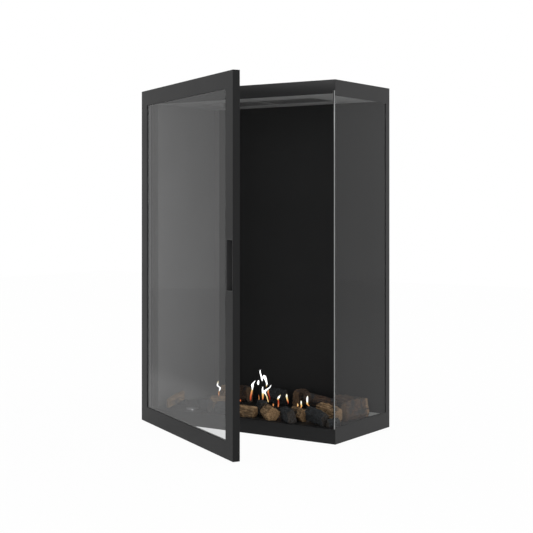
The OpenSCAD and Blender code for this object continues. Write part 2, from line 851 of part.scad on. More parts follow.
// A log as rings of points along its length, closed by a point at each end
module log_solid(log) {
    rings = log_rings - 1;
    skin = [for (i = [0 : rings], k = [0 : log_sides - 1])
        laid(log, log_point(log, i / rings, 360 * k / log_sides))];
    half = log[4] * log_reach / 2 + end_out;
    middle = log[6] * log_girth / 2;
    ends = [laid(log, [-half, 0, middle + log_lift(log, 0)]),
            laid(log, [half, 0, middle + log_lift(log, 1)])];
    last = rings * log_sides;
    low = len(skin);
    sides = [for (i = [0 : rings - 1], k = [0 : log_sides - 1], half_face = [0, 1])
        let (a = i * log_sides + k,
             b = i * log_sides + (k + 1) % log_sides)
        half_face == 0 ? [a, a + log_sides, b] : [b, a + log_sides, b + log_sides]];
    near = [for (k = [0 : log_sides - 1]) [low, k, (k + 1) % log_sides]];
    far = [for (k = [0 : log_sides - 1]) [low + 1, last + (k + 1) % log_sides, last + k]];
    polyhedron(points = concat(skin, ends), faces = concat(sides, near, far));
}

module ceramic_log(index) {
    log = LOGS[index - 1];
    shade = ["#8a6a48", "#2d2f31", "#5b3d28"];
    color(shade[log[8]])
        translate([chamber_left + log[0] * bed_w, front + log[1] * bed_d, log_z]) log_solid(log);
}

base_tray();
floor_plate();
top_casing();
ceiling_plate();
heat_deflector();
back_panel();
back_liner();
liner_standoffs();
left_casing();
left_liner();
liner_corner();
side_glass();
side_glass_seal();
glass_rail_bottom();
glass_rail_top();
catch_magnets();
fuel_tank();
tank_lid();
wool_pad();
burner_top();
flame_shutter();
shutter_knob();
filler_neck();
fill_cap();
door_hinge_stile();
door_handle_stile();
door_top_rail();
door_bottom_rail();
door_glass();
glazing_beads();
finger_pull();
door_bumpers();
fixed_leaf(hinge_z[1]);  // hinge_upper_fixed_leaf
door_leaf(hinge_z[1]);  // hinge_upper_door_leaf
fixed_leaf(hinge_z[0]);  // hinge_lower_fixed_leaf
door_leaf(hinge_z[0]);  // hinge_lower_door_leaf
hinge_pins();
hinge_fixed_screws();
hinge_door_screws();
ceramic_log(1);  // log_01
ceramic_log(2);  // log_02
ceramic_log(3);  // log_03
ceramic_log(4);  // log_04
ceramic_log(5);  // log_05
ceramic_log(6);  // log_06
ceramic_log(7);  // log_07
ceramic_log(8);  // log_08
ceramic_log(9);  // log_09
ceramic_log(10);  // log_10
ceramic_log(11);  // log_11
ceramic_log(12);  // log_12
ceramic_log(13);  // log_13
ceramic_log(14);  // log_14
ceramic_log(15);  // log_15
ceramic_log(16);  // log_16
ceramic_log(17);  // log_17
ceramic_log(18);  // log_18
ceramic_log(19);  // log_19
ceramic_log(20);  // log_20
ceramic_log(21);  // log_21
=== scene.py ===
# %% [markdown]
# # A bioethanol corner fireplace
#
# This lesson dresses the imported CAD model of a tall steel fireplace: a black cabinet glazed at its front and
# right side, a framed glass door on the left, a bed of ceramic logs and a burner with its flames.
# Everything is in metres. X runs to the right along the front, Y to the back and Z up, and the origin is the
# middle of the cabinet's underside, on the floor.
#
# The CAD model is the frame: its pieces are right in size and place and are never moved. Here they get their
# finishes, and where a plain solid isn't enough a finer piece stands for it.

# %% Load the frame
import json
import math

import bmesh
import bpy
import numpy as np
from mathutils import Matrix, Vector

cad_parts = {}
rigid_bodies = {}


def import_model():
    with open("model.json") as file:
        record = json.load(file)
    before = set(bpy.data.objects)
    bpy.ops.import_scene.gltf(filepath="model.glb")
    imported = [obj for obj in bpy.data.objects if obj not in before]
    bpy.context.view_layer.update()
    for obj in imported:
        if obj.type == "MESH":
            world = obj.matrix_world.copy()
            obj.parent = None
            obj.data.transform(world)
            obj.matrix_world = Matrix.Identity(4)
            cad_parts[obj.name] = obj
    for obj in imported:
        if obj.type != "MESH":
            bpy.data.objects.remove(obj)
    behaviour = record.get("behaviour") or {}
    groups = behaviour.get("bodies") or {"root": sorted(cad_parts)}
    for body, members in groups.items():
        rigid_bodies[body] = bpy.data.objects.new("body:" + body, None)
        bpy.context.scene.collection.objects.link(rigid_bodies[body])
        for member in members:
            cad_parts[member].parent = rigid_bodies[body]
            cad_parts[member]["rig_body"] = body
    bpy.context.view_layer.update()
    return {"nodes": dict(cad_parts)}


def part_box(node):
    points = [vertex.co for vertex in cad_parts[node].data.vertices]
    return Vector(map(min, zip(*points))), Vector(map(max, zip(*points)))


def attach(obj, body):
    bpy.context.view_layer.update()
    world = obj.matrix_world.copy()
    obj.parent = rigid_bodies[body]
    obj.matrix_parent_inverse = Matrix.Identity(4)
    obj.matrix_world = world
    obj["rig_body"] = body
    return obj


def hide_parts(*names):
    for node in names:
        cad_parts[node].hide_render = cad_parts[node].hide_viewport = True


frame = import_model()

# %% [markdown]
# ## The camera
#
# The photograph has two-point perspective: every upright edge is vertical in it, so the camera was level and
# the picture was framed by shifting the lens. The lens and the place come from the cabinet's edges, whose
# vanishing points fix the horizon, the focal length and the angle of 34 degrees round from the front.
# A level camera with a small vertical shift repeats that exactly, where tilting the camera would make the
# upright edges lean. The horizon's row is measured from the top of the picture.

# %% Camera
CAMERA_PLACE = (1.9852, -2.9434, 0.6561)
CAMERA_TURN = math.radians(34.0)
FOCAL_PIXELS = 1182.4
PICTURE_PIXELS = 533
HORIZON_ROW = 204.9
SENSOR_MM = 36


def put_in_scene(name, data):
    """An object of that mesh, camera or lamp, at the origin."""
    thing = bpy.data.objects.new(name, data)
    bpy.context.scene.collection.objects.link(thing)
    return thing


camera_data = bpy.data.cameras.new("studio_camera")
camera_data.sensor_width = SENSOR_MM
camera_data.lens = FOCAL_PIXELS / PICTURE_PIXELS * SENSOR_MM
camera_data.shift_y = (HORIZON_ROW - PICTURE_PIXELS / 2) / PICTURE_PIXELS
camera = put_in_scene("studio_camera", camera_data)
camera.location = CAMERA_PLACE
camera.rotation_euler = (math.pi / 2, 0, CAMERA_TURN)
bpy.context.scene.camera = camera
print("lens:", round(camera_data.lens, 2), "mm, shift:", round(camera_data.shift_y, 4))

# %% [markdown]
# ## Small helpers for node trees
#
# A material here is a handful of shader nodes. These helpers add one node, set its plain values and wire it,
# so that each finish below reads as a short recipe. A value that is the same all over a surface is set on
# the shader's own socket. The recipes are functions of the surface's own place and not pictures: a picture
# would need unwrapping, and would hold the light of the day it was taken.

# %% Node helpers
def new_material(name):
    """An empty node material, with its output node."""
    material = bpy.data.materials.new(name)
    material.use_nodes = True
    material.node_tree.nodes.clear()
    return material, material.node_tree.nodes.new("ShaderNodeOutputMaterial")


def add(material, kind, links=None, **values):
    """Adds a node: values go to its settings or its input sockets, links says which output feeds a socket."""
    node = material.node_tree.nodes.new("ShaderNode" + kind)
    for key, value in values.items():
        if hasattr(node, key):
            setattr(node, key, value)
        else:
            node.inputs[key.replace("_", " ")].default_value = value
    for socket, source in (links or {}).items():
        material.node_tree.links.new(source, node.inputs[socket])
    return node


def feed(material, socket, value):
    """Gives a socket what it reads: another node's output, or a plain value."""
    if isinstance(value, bpy.types.NodeSocket):
        material.node_tree.links.new(value, socket)
    else:
        socket.default_value = value


def reckon(material, operation, first, second=0.0):
    """One sum on two values, each a number or another node's output."""
    node = add(material, "Math", operation=operation)
    feed(material, node.inputs[0], first)
    feed(material, node.inputs[1], second)
    return node.outputs["Value"]


def spread(material, fac, low, high, start=0.0, stop=1.0):
    """Maps fac from start..stop to low..high, and no further."""
    return add(material, "MapRange", {"Value": fac}, From_Min=start, From_Max=stop, To_Min=low,
               To_Max=high).outputs["Result"]


def ramp(material, fac, stops):
    """A colour ramp over fac, with stops of (position, (r, g, b))."""
    node = add(material, "ValToRGB", {"Fac": fac})
    elements = node.color_ramp.elements
    while len(elements) < len(stops):
        elements.new(0.5)
    for element, (position, colour) in zip(elements, stops):
        element.position = position
        element.color = (*colour, 1)
    return node.outputs["Color"]


def times(colour, factor):
    """The colour made lighter or darker."""
    return tuple(c * factor for c in colour)


def mix_colours(material, share, first, second):
    """From the first colour to the second by share; each is (r, g, b) or another node's output."""
    node = add(material, "Mix", {"Factor": share}, data_type="RGBA")
    for socket, colour in zip((node.inputs[6], node.inputs[7]), (first, second)):
        feed(material, socket, (*colour, 1) if isinstance(colour, tuple) else colour)
    return node.outputs[2]


def mix_shaders(material, share, first, second):
    """From the first shader to the second by share."""
    return add(material, "MixShader", {0: share, 1: first.outputs[0], 2: second.outputs[0]})


def noise(material, vector, scale, detail=2.0, roughness=0.5):
    """Smooth noise of that many cells a metre, read at vector."""
    return add(material, "TexNoise", {"Vector": vector}, Scale=scale, Detail=detail,
               Roughness=roughness).outputs["Fac"]


def bumps(material, height, strength, depth):
    """How the surface faces where height pits it, up to depth metres."""
    return add(material, "Bump", {"Height": height}, Strength=strength, Distance=depth).outputs["Normal"]


def object_place(material):
    """The surface's own place in metres, which stays with the piece as it moves."""
    return add(material, "TexCoord").outputs["Object"]


def finish_material(material, output, shader):
    """Wires the shader to the output."""
    material.node_tree.links.new(shader.outputs[0], output.inputs["Surface"])
    return material


def opaque(material, output, shade, gloss, bump, specular=0.5, metallic=0.0):
    """The end of every opaque finish: colour, roughness and bump go to one surface shader."""
    shader = add(material, "BsdfPrincipled", {"Base Color": shade, "Normal": bump}, Metallic=metallic,
                 Specular_IOR_Level=specular)
    feed(material, shader.inputs["Roughness"], gloss)
    return finish_material(material, output, shader)


print("node helpers ready")

# %% [markdown]
# ## Powder-coated and painted steel
#
# Powder coat is melted plastic: nearly black, satin, with a fine orange-peel surface of grains about a
# millimetre across, and its gloss wanders a little where the coat is thicker. The bump is weak on purpose,
# because from a step away the coat looks even.
#
# Two painted pieces get more, and both carry painted light. The chamber's back wall is painted lighter at its
# left and along its top and bottom: painted light that lifts the shade falling there. The bed plate has a pale
# patch painted in its right rear corner, with a ragged border, standing for the light that reaches that
# corner.
# Both are worked out from the surface's place, and so they look the same from every side.

# %% Painted steel
CLOUDS = 9.0             # slow changes of the coat, a metre
PEEL = 1100.0            # grains of orange peel, a metre
PEEL_DEPTH = 0.0002
WALL_MIDDLE = 0.5        # the height where the back wall's painted light is weakest


def painted_steel(name, colour, roughness, specular, grain=0.15):
    """Paint or powder coat of one colour, a little lighter and darker in slow clouds."""
    material, output = new_material(name)
    place = object_place(material)
    cloud = noise(material, place, CLOUDS, 4.0)
    shade = ramp(material, cloud, [(0.3, times(colour, 0.93)), (0.7, times(colour, 1.07))])
    gloss = spread(material, cloud, roughness - 0.05, roughness + 0.05)
    peel = bumps(material, noise(material, place, PEEL), grain, PEEL_DEPTH)
    return opaque(material, output, shade, gloss, peel, specular)


def paint_with_painted_light(name, fresh, painted_light_tone, left, right):
    """Matt black stove paint with painted light: lighter up to the X left, fading to the X right, and
    lighter towards the top and bottom edges, to lift the shade that falls there."""
    material, output = new_material(name)
    place = object_place(material)
    apart = add(material, "SeparateXYZ", {0: place})
    # Painted light: the tone is lifted towards the left and towards the top and bottom, where shade falls.
    painted_light_left = spread(material, apart.outputs["X"], 0.6, 0.0, left, right)
    away = reckon(material, "ABSOLUTE", reckon(material, "SUBTRACT", apart.outputs["Z"], WALL_MIDDLE))
    edge = spread(material, away, 0.0, 0.4, 0.15, 0.46)
    shade = ramp(material, reckon(material, "ADD", painted_light_left, edge), [(0.0, fresh), (1.0, painted_light_tone)])
    gloss = spread(material, noise(material, place, CLOUDS, 4.0), 0.45, 0.53)
    peel = bumps(material, noise(material, place, PEEL), 0.03, PEEL_DEPTH)
    return opaque(material, output, shade, gloss, peel, 0.15)


def paint_with_painted_light_patch(name, colour, dust_and_painted_light, corner):
    """Painted steel with a pale patch of painted light in its right rear corner, beyond the X and Y of corner.
    """
    material, output = new_material(name)
    place = object_place(material)
    cloud = noise(material, place, 90.0, 4.0)
    fine = noise(material, place, 900.0, 3.0)
    ragged = spread(material, cloud, -0.006, 0.006)
    apart = add(material, "SeparateXYZ", {0: place})
    beyond = [spread(material, reckon(material, "ADD", apart.outputs[axis], ragged), 0.0, 1.0, start,
                     start + 0.008) for axis, start in zip("XY", corner)]
    paint = ramp(material, cloud, [(0.3, times(colour, 0.88)), (0.7, times(colour, 1.12))])
    # The pale tone of the patch is painted light, standing for the light that reaches that corner of the bed.
    ash_and_painted_light = ramp(material, fine, [(0.3, times(dust_and_painted_light, 0.8)), (0.7, dust_and_painted_light)])
    shade = mix_colours(material, reckon(material, "MULTIPLY", *beyond), paint, ash_and_painted_light)
    return opaque(material, output, shade, 0.5, bumps(material, fine, 0.1, 0.0003), 0.25)


cabinet_coat = painted_steel("cabinet_powder_coat", (0.0100, 0.0101, 0.0104), 0.42, 0.24)
chamber_coat = painted_steel("chamber_heatproof_paint", (0.012, 0.012, 0.012), 0.5, 0.25, 0.05)
# The back wall's painted light lifts the shade at its left, top and bottom.
back_coat = paint_with_painted_light("back_wall_heatproof_paint", (0.0062, 0.0062, 0.0064), (0.0245, 0.0245, 0.0247),
                         -0.2, 0.32)
liner_coat = painted_steel("lining_heatproof_paint", (0.145, 0.145, 0.145), 0.55, 0.25, 0.05)
ceiling_coat = painted_steel("ceiling_heatproof_paint", (0.27, 0.27, 0.268), 0.6, 0.25, 0.05)
door_coat = painted_steel("door_powder_coat", (0.0120, 0.0121, 0.0124), 0.46, 0.14)
# The finger pull is painted lighter than the door around it: painted light that lifts the shade in its recess.
pull_painted_light_coat = painted_steel("finger_pull_painted_light", (0.050, 0.050, 0.051), 0.5, 0.25)
bead_coat = painted_steel("glazing_bead_paint", (0.085, 0.085, 0.085), 0.5, 0.25, 0.04)
# The bed plate's pale corner patch is painted light.
bed_coat = paint_with_painted_light_patch("bed_plate_paint", (0.012, 0.012, 0.012), (0.40, 0.40, 0.39), (0.266, 0.074))
# Aluminised steel on the heat deflector; on the top casing's inside faces the same pale finish is painted
# light.
aluminised_and_painted_light = painted_steel("aluminised_steel_and_painted_light", (0.37, 0.37, 0.37), 0.5, 0.4, 0.05)
print("coats:", [material.name for material in bpy.data.materials])

# %% [markdown]
# ## Bare metal
#
# The burner, hinges and screws are bare steel, and the fuel cap is chromed. Brushed sheet has scratches that
# run one way, so its noise is read finely across them and coarsely along them. Chrome is nearly a mirror,
# with the finest swirl marks in its gloss.

# %% Bare metal
def brushed_steel(name, colour, roughness, fineness=(4.0, 260.0, 260.0)):
    """Metal with scratches that run along the axis of least fineness."""
    material, output = new_material(name)
    stretched = add(material, "Mapping", {"Vector": object_place(material)}, Scale=fineness)
    scratches = noise(material, stretched.outputs["Vector"], 6.0, 5.0, 0.7)
    shade = ramp(material, scratches, [(0.25, times(colour, 0.8)), (0.75, colour)])
    gloss = spread(material, scratches, roughness - 0.08, roughness + 0.10)
    return opaque(material, output, shade, gloss, bumps(material, scratches, 0.12, 0.0001), metallic=1.0)


burner_steel = brushed_steel("burner_stainless", (0.50, 0.50, 0.49), 0.34)
hinge_steel = brushed_steel("hinge_steel", (0.62, 0.62, 0.61), 0.30, (260.0, 260.0, 4.0))
screw_steel = brushed_steel("screw_zinc", (0.58, 0.58, 0.57), 0.32, (200.0, 20.0, 200.0))
cap_chrome = brushed_steel("cap_chrome", (0.78, 0.78, 0.79), 0.14, (60.0, 60.0, 60.0))
magnet_nickel = brushed_steel("magnet_nickel", (0.60, 0.59, 0.56), 0.25, (60.0, 60.0, 60.0))
METALS = (burner_steel, hinge_steel, screw_steel, cap_chrome, magnet_nickel)
print("metals:", [metal.name for metal in METALS])

# %% [markdown]
# ## Rubber and wool
#
# The glass stands on a strip of heat-proof rubber, and the door closes on two small bumpers. The wool pad
# soaks up the fuel; it is a felt of white fibres that soot has darkened. All three are dull, with a paler
# dust in their finest pits, so one recipe makes them.

# %% Rubber and wool
def soft_black(name, colour, roughness):
    """A dull dark surface with paler dust in its pits."""
    material, output = new_material(name)
    dust_and_painted_light = noise(material, object_place(material), 420.0, 3.0)
    shade = ramp(material, dust_and_painted_light, [(0.3, colour), (0.8, times(colour, 1.7))])
    gloss = spread(material, dust_and_painted_light, roughness, min(1.0, roughness + 0.12))
    return opaque(material, output, shade, gloss, bumps(material, dust_and_painted_light, 0.2, 0.0002), 0.3)


seal_rubber = soft_black("seal_rubber", (0.012, 0.012, 0.012), 0.7)
bumper_rubber = soft_black("bumper_rubber", (0.010, 0.010, 0.010), 0.6)
wool_felt = soft_black("sooted_wool", (0.050, 0.046, 0.042), 0.85)
print("soft finishes:", [soft.name for soft in (seal_rubber, bumper_rubber, wool_felt)])

# %% [markdown]
# ## Glass
#
# Each pane is a closed solid with two faces and four polished edges. Light goes straight through such thin
# glass, so the faces mix a clear shader, slightly grey, with a mirror by the Fresnel law: little shows head
# on, more at a slant. Only the face that a ray enters reflects, because the inner side of a thin pane would
# otherwise count as a total mirror. Lamps shine through it without a dark shadow. The edges, told apart by
# which way the surface faces, look pale and solid, as polished glass edges do.
#
# The side pane's edges are pale in their outer half alone, because the inner half lies in shade. The door's
# pane is veiled with pale matt white low down, thinning out upwards.

# %% Glass
VEIL_SHARE = 0.034       # of the view that the pale veil hides
VEIL_FADE = 0.04         # the height over which it thins out
ARRIS_SOFT = 0.0004      # half the width of the step from dark to pale
DOOR_FACES = (0.4955, 0.8686, 0)        # the door stands 29.7 degrees open


def pane_glass(name, through, index, thin_axis, edge_colour, arris=None, veil_top=None):
    """Glass whose wide faces look along thin_axis, a direction in the piece's own frame. The edges are pale,
    where arris is given only beyond that X. A pale matt veil lies on the faces below the height veil_top."""
    material, output = new_material(name)
    place = object_place(material)
    geometry = add(material, "NewGeometry")
    face = add(material, "Fresnel", IOR=index)
    entering = reckon(material, "LESS_THAN", geometry.outputs["Backfacing"], 0.5)
    share = reckon(material, "MULTIPLY", face.outputs["Fac"], entering)
    clear = add(material, "BsdfTransparent", Color=(*through, 1))
    mirror = add(material, "BsdfAnisotropic", Roughness=0.02)
    wide = mix_shaders(material, share, clear, mirror)
    apart = add(material, "SeparateXYZ", {0: place})
    if veil_top is not None:
        veil = spread(material, apart.outputs["Z"], VEIL_SHARE, 0.0, veil_top - VEIL_FADE, veil_top)
        wide = mix_shaders(material, veil, wide, add(material, "BsdfDiffuse", Color=(0.8, 0.8, 0.8, 1)))
    tint = ramp(material, noise(material, place, 300.0), [(0.2, times(edge_colour, 0.9)), (0.8, edge_colour)])
    if arris is not None:
        outer = spread(material, apart.outputs["X"], 0.0, 1.0, arris - ARRIS_SOFT, arris + ARRIS_SOFT)
        tint = mix_colours(material, outer, (0.02, 0.021, 0.021), tint)
    edge = add(material, "BsdfPrincipled", {"Base Color": tint}, Roughness=0.12)
    facing = add(material, "VectorMath", {0: geometry.outputs["True Normal"]}, operation="DOT_PRODUCT")
    facing.inputs[1].default_value = thin_axis
    on_face = reckon(material, "GREATER_THAN", reckon(material, "ABSOLUTE", facing.outputs["Value"]), 0.7)
    return finish_material(material, output, mix_shaders(material, on_face, edge, wide))


PANE_LOW, PANE_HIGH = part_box("side_glass")
side_pane = pane_glass("side_glass_clear", (0.95, 0.955, 0.955), 1.30, (1, 0, 0), (0.42, 0.43, 0.43),
                       arris=(PANE_LOW.x + PANE_HIGH.x) / 2)
door_pane = pane_glass("door_glass_grey", (0.857, 0.860, 0.862), 1.36, DOOR_FACES, (0.26, 0.27, 0.27),
                       veil_top=0.18)
print("panes:", [pane.name for pane in (side_pane, door_pane)])

# %% [markdown]
# ## Dressing the steel
#
# A CAD solid has perfectly sharp edges, and real folded sheet never has: a bend is round, and powder coat
# rounds every cut edge, which is why edges catch a thin line of light. So each shown steel piece gets a
# double: the CAD mesh, merged, its flat faces joined, and its edges rounded. The double stands for its node
# and rides on the same body. The door frame's mitres are welded and ground flush before the coating, so an
# edge of a slanting mitre face isn't rounded: the seam vanishes, as it does on the real frame.

# %% Dressed steel
EDGE_ROUNDING = 0.0004
SKIN = 0.0005


def ride_and_replace(piece, node):
    """Piece stands for that CAD node, on its body."""
    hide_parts(node)
    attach(piece, frame["nodes"][node]["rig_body"])


def dress(node, finish):
    """A copy of the node's mesh with its flat faces joined and its edges rounded."""
    mesh = bmesh.new()
    mesh.from_mesh(frame["nodes"][node].data)
    bmesh.ops.remove_doubles(mesh, verts=mesh.verts, dist=1e-6)
    bmesh.ops.dissolve_limit(mesh, angle_limit=math.radians(0.5), verts=mesh.verts, edges=mesh.edges)
    weight = mesh.edges.layers.float.new("bevel_weight_edge")
    for edge in mesh.edges:
        mitre = any(0.6 < abs(face.normal.z) < 0.8 for face in edge.link_faces)
        sharp = len(edge.link_faces) == 2 and edge.calc_face_angle() > math.radians(30)
        edge[weight] = 1.0 if sharp and not mitre else 0.0
    data = bpy.data.meshes.new(node + "_dressed")
    mesh.to_mesh(data)
    mesh.free()
    data.materials.clear()
    data.materials.append(finish)
    piece = put_in_scene(node + "_dressed", data)
    rounding = piece.modifiers.new("rounded_edges", "BEVEL")
    rounding.width = EDGE_ROUNDING
    rounding.segments = 2
    rounding.limit_method = "WEIGHT"
    ride_and_replace(piece, node)
    return piece


def paint_light_inside(piece, box, light_finish):
    """Gives light_finish, a pale finish that is painted light, to the faces whose middle lies deeper than SKIN
    inside the box's sides and top.
    """
    low, high = np.array(box[0]) + SKIN, np.array(box[1]) - SKIN
    low[2] = -1.0        # open underneath
    piece.data.materials.append(light_finish)
    middles = np.empty(len(piece.data.polygons) * 3)
    piece.data.polygons.foreach_get("center", middles)
    middles = middles.reshape(-1, 3)
    inside = np.all((middles > low) & (middles < high), axis=1)
    piece.data.polygons.foreach_set("material_index", inside.astype(np.int32))


DRESSED = [
    (cabinet_coat, "cabinet_steel", ("base_tray", "top_casing", "back_panel", "left_casing")),
    (door_coat, "door_steel", ("door_hinge_stile", "door_handle_stile", "door_top_rail",
                              "door_bottom_rail")),
]
for finish, slot, nodes in DRESSED:
    for node in nodes:
        piece = dress(node, finish)
        # The top casing's inside faces get a pale finish: painted light, standing for the light that comes in
        # through the ceiling's vents.
        if node == "top_casing":
            paint_light_inside(piece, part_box(node), aluminised_and_painted_light)
        print(piece.name, len(piece.data.polygons), "faces")

# %% [markdown]
# ## Finishes for the CAD pieces that stay
#
# The other metal, rubber and glass pieces have the right shape already, so they only get a material.

# %% Finishes on CAD pieces
FINISHES = {
    chamber_coat: ("floor_plate", "glass_rail_bottom", "glass_rail_top", "shutter_knob"),
    ceiling_coat: ("ceiling_plate",),
    liner_coat: ("left_liner", "liner_corner"),
    back_coat: ("back_liner",),
    bed_coat: ("burner_top",),
    aluminised_and_painted_light: ("heat_deflector",),
    burner_steel: ("fuel_tank", "tank_lid", "flame_shutter", "filler_neck"),
    hinge_steel: ("hinge_upper_fixed_leaf", "hinge_upper_door_leaf", "hinge_lower_fixed_leaf",
                  "hinge_lower_door_leaf", "hinge_pins"),
    screw_steel: ("liner_standoffs", "hinge_fixed_screws", "hinge_door_screws"),
    cap_chrome: ("fill_cap",),
    magnet_nickel: ("catch_magnets",),
    seal_rubber: ("side_glass_seal",),
    bumper_rubber: ("door_bumpers",),
    wool_felt: ("wool_pad",),
    side_pane: ("side_glass",),
    door_pane: ("door_glass",),
    bead_coat: ("glazing_beads",),
    pull_painted_light_coat: ("finger_pull",),
}
for finish, nodes in FINISHES.items():
    for node in nodes:
        slots = frame["nodes"][node].data.materials
        slots.clear()
        slots.append(finish)
print(sum(len(nodes) for nodes in FINISHES.values()), "nodes finished")

# %% [markdown]
# ## Building a mesh from a grid
#
# Every new piece is a surface of two parameters worked out on a grid with numpy: one runs along the piece and
# the other round it. The grid becomes a mesh of four-sided faces, closed round its width and pinched to one
# point at each end, so that the piece is a closed body.

# %% Grid meshes
WAVES = 14


def closed_tube(name, rings, first, last):
    """A closed mesh from rings, an array (along, round, xyz), and one point for each end."""
    along, around, _ = rings.shape
    index = np.arange(along * around).reshape(along, around)
    following = np.roll(index, -1, axis=1)
    quads = np.stack([index[:-1], following[:-1], following[1:], index[1:]], axis=-1).reshape(-1, 4)
    poles = along * around, along * around + 1
    near = np.stack([np.full(around, poles[0]), following[0], index[0]], axis=-1)
    far = np.stack([np.full(around, poles[1]), index[-1], following[-1]], axis=-1)
    points = np.concatenate([rings.reshape(-1, 3), [first], [last]])
    data = bpy.data.meshes.new(name)
    data.from_pydata(points.tolist(), [], quads.tolist() + near.tolist() + far.tolist())
    data.validate()
    data.polygons.foreach_set("use_smooth", np.ones(len(data.polygons), bool))
    return data


def put_attribute(data, name, values):
    """Stores one number, or one vector, for each point of the mesh."""
    kind, field = ("FLOAT", "value") if values.ndim == 1 else ("FLOAT_VECTOR", "vector")
    data.attributes.new(name, kind, "POINT").data.foreach_set(field, values.astype(np.float32).ravel())


def points_of(data):
    """The places of the mesh's points, an array (point, xyz)."""
    points = np.empty(len(data.vertices) * 3)
    data.vertices.foreach_get("co", points)
    return points.reshape(-1, 3)


def place_points(data, points):
    """Moves the mesh's points, and turns its faces outwards where its volume comes out negative."""
    data.vertices.foreach_set("co", points.ravel())
    data.update()
    mesh = bmesh.new()
    mesh.from_mesh(data)
    if mesh.calc_volume(signed=True) < 0:
        bmesh.ops.reverse_faces(mesh, faces=mesh.faces)
    mesh.to_mesh(data)
    mesh.free()


def wave_sum(rng, along, around, strength, high_along, high_around):
    """Seamless noise: a sum of waves whose number round the piece is whole, each with its own phase."""
    total = np.zeros(np.broadcast(along, around).shape)
    for _ in range(WAVES):
        turns = rng.integers(0, high_around + 1)
        runs = rng.uniform(-high_along, high_along)
        total = total + np.sin(turns * around + runs * along + rng.uniform(0, 2 * np.pi)) / math.sqrt(WAVES)
    return total * strength


print("mesh helpers ready")

# %% [markdown]
# ## The ceramic logs
#
# The bed is laid with small logs cast in ceramic from split firewood, some left pale, some brown, some
# charred. The photograph gives their places and sizes on the bed, as shares of its width and depth, so that
# they follow the bed if it is made larger. A few lean on a neighbour with one end.

# %% Log sizes
MILLIMETRE = 0.001
CHAMBER_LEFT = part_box("left_liner")[1].x
BED_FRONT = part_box("base_tray")[0].y
BED_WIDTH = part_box("side_glass")[0].x - CHAMBER_LEFT
BED_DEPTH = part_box("back_liner")[0].y - BED_FRONT
BED_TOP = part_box("burner_top")[1].z
PALE, CHARRED, BROWN = 0, 1, 2
# Share of the bed's width and depth, turn in degrees, how much higher the far end lies than the near one,
# length, width and height in mm, phase in degrees, look
LOGS = [
    (0.481, 0.080, 6, 0, 84, 34, 32, 20, PALE), (0.533, 0.253, -40, 0, 48, 34, 44, 75, CHARRED),
    (0.619, 0.133, -38, 0, 64, 46, 44, 130, PALE), (0.727, 0.117, -40, 0, 68, 36, 38, 190, CHARRED),
    (0.751, 0.232, -36, 0, 66, 34, 36, 245, PALE), (0.879, 0.107, -20, -8, 72, 36, 40, 310, CHARRED),
    (0.884, 0.314, -12, -8, 78, 38, 44, 15, PALE), (0.954, 0.578, 88, 0, 112, 36, 56, 60, BROWN),
    (0.966, 0.117, 84, 0, 46, 24, 24, 100, CHARRED), (0.233, 0.849, -18, 0, 64, 36, 52, 160, BROWN),
    (0.433, 0.849, 6, 0, 74, 36, 49, 215, CHARRED), (0.576, 0.856, 68, 0, 44, 38, 54, 270, BROWN),
    (0.698, 0.795, 10, -18, 98, 34, 36, 330, BROWN), (0.816, 0.914, -4, 0, 92, 28, 46, 35, BROWN),
    (0.059, 0.151, 76, 20, 58, 28, 28, 85, PALE), (0.046, 0.293, 12, 0, 34, 20, 20, 140, CHARRED),
    (0.159, 0.327, -30, 0, 40, 24, 24, 200, CHARRED), (0.259, 0.120, -26, 0, 40, 30, 34, 255, CHARRED),
    (0.288, 0.320, -6, 0, 94, 34, 38, 320, PALE), (0.358, 0.120, -12, 0, 54, 32, 34, 45, CHARRED),
    (0.146, 0.829, 80, 0, 54, 34, 50, 110, PALE),
]
print("logs:", len(LOGS), "bed:", round(BED_WIDTH, 4), "by", round(BED_DEPTH, 4))

# %% [markdown]
# ## The skin of a log
#
# Each log starts as the CAD log: the round bark, cut back by four flat faces where the wood was split, and a
# little thinner at its ends. On top of that come the marks of the cast: long grain ridges, a few deep
# splits, flaked facets and, on the charred ones, the crossed cracks of burnt wood. Sculpting would look as
# good but couldn't be repeated; a formula gives the same logs at each run.

# %% Log skin
BARK = 1.04              # the round bark's radius, as a share of half the log's width
SPLIT_FACES = 4
FACE_REACH = 0.3         # how far round a split face cuts, as the cosine of the angle from its middle


def log_radius(s, a, phase):
    """How far the skin lies from the middle line: the smallest of the round bark and four flat faces, whose
    distances vary with the phase; thinner at both ends, with a slow lump of three round."""
    radius = BARK + 0 * (s + a)
    for face in range(SPLIT_FACES):
        lean = np.radians(16) * np.sin(phase + np.radians(100 * face))
        turn = a - phase - 2 * np.pi * face / SPLIT_FACES - lean
        reach = 0.78 + 0.17 * np.sin(2 * phase + np.radians(130 * face + 25 * s))
        facing = np.maximum(np.cos(turn), FACE_REACH)
        radius = np.where(facing > FACE_REACH, np.minimum(radius, reach / facing), radius)
    return (radius * (0.88 + 0.12 * np.sin(np.radians(20 + 140 * s)))
            * (1 + 0.035 * np.sin(3 * a + 2 * phase + np.radians(90) * s)))


def cracks(rng, s, a, rows, columns):
    """Depth from 0 to 1 of crossed cracks: the plane is split in wavy rows and columns, and a crack runs
    where a point is close to the border of its cell."""
    u = columns * a / (2 * np.pi) + wave_sum(rng, s, a, 0.35, 9, 3)
    v = rows * s + wave_sum(rng, s, a, 0.35, 9, 3) + 0.5 * (np.floor(u) % 2)
    edge_u = np.abs((u % 1) - 0.5) * 2
    edge_v = np.abs((v % 1) - 0.5) * 2
    return np.clip((np.maximum(edge_u, edge_v) - 0.78) / 0.22, 0, 1)


